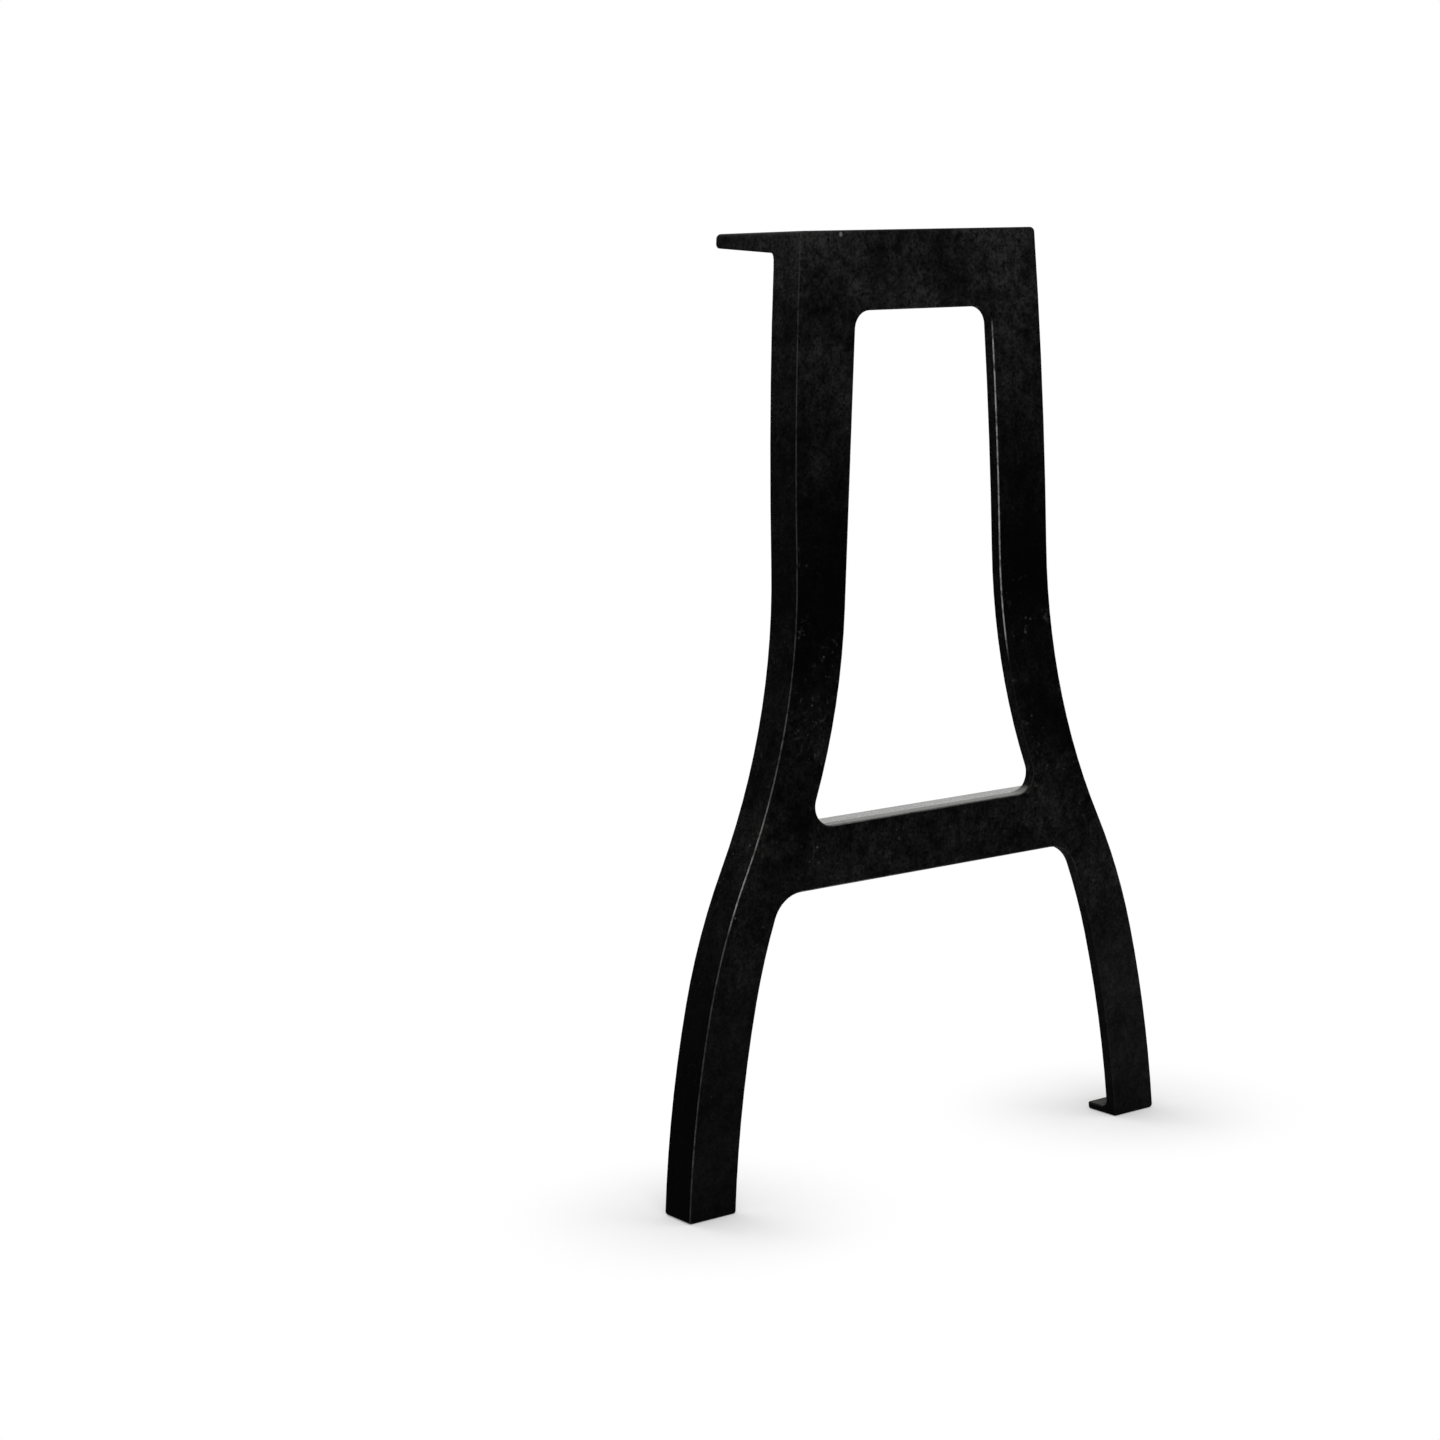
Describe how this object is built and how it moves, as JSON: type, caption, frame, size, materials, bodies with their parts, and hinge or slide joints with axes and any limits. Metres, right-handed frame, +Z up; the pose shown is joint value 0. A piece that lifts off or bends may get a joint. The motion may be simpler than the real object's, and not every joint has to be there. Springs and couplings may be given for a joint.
{
  "type": "cast iron trestle table leg",
  "caption": "Cast trestle table leg: flanged open frame with a crossbar, splayed feet and two fixing lugs at the head.",
  "frame": {"origin": "on the floor, midway between the feet and midway through the overall depth", "axes": "+Z up; X from foot to foot; +Y from the plain outer face in under the table, where the lugs point"},
  "size_m": [0.4646, 0.103, 0.711],
  "materials": {
    "black_cast_iron": "satin black, as cast, with a fine mottled skin"
  },
  "bodies": {
    "root": {"trestle_leg": "black_cast_iron"}
  },
  "joints": []
}
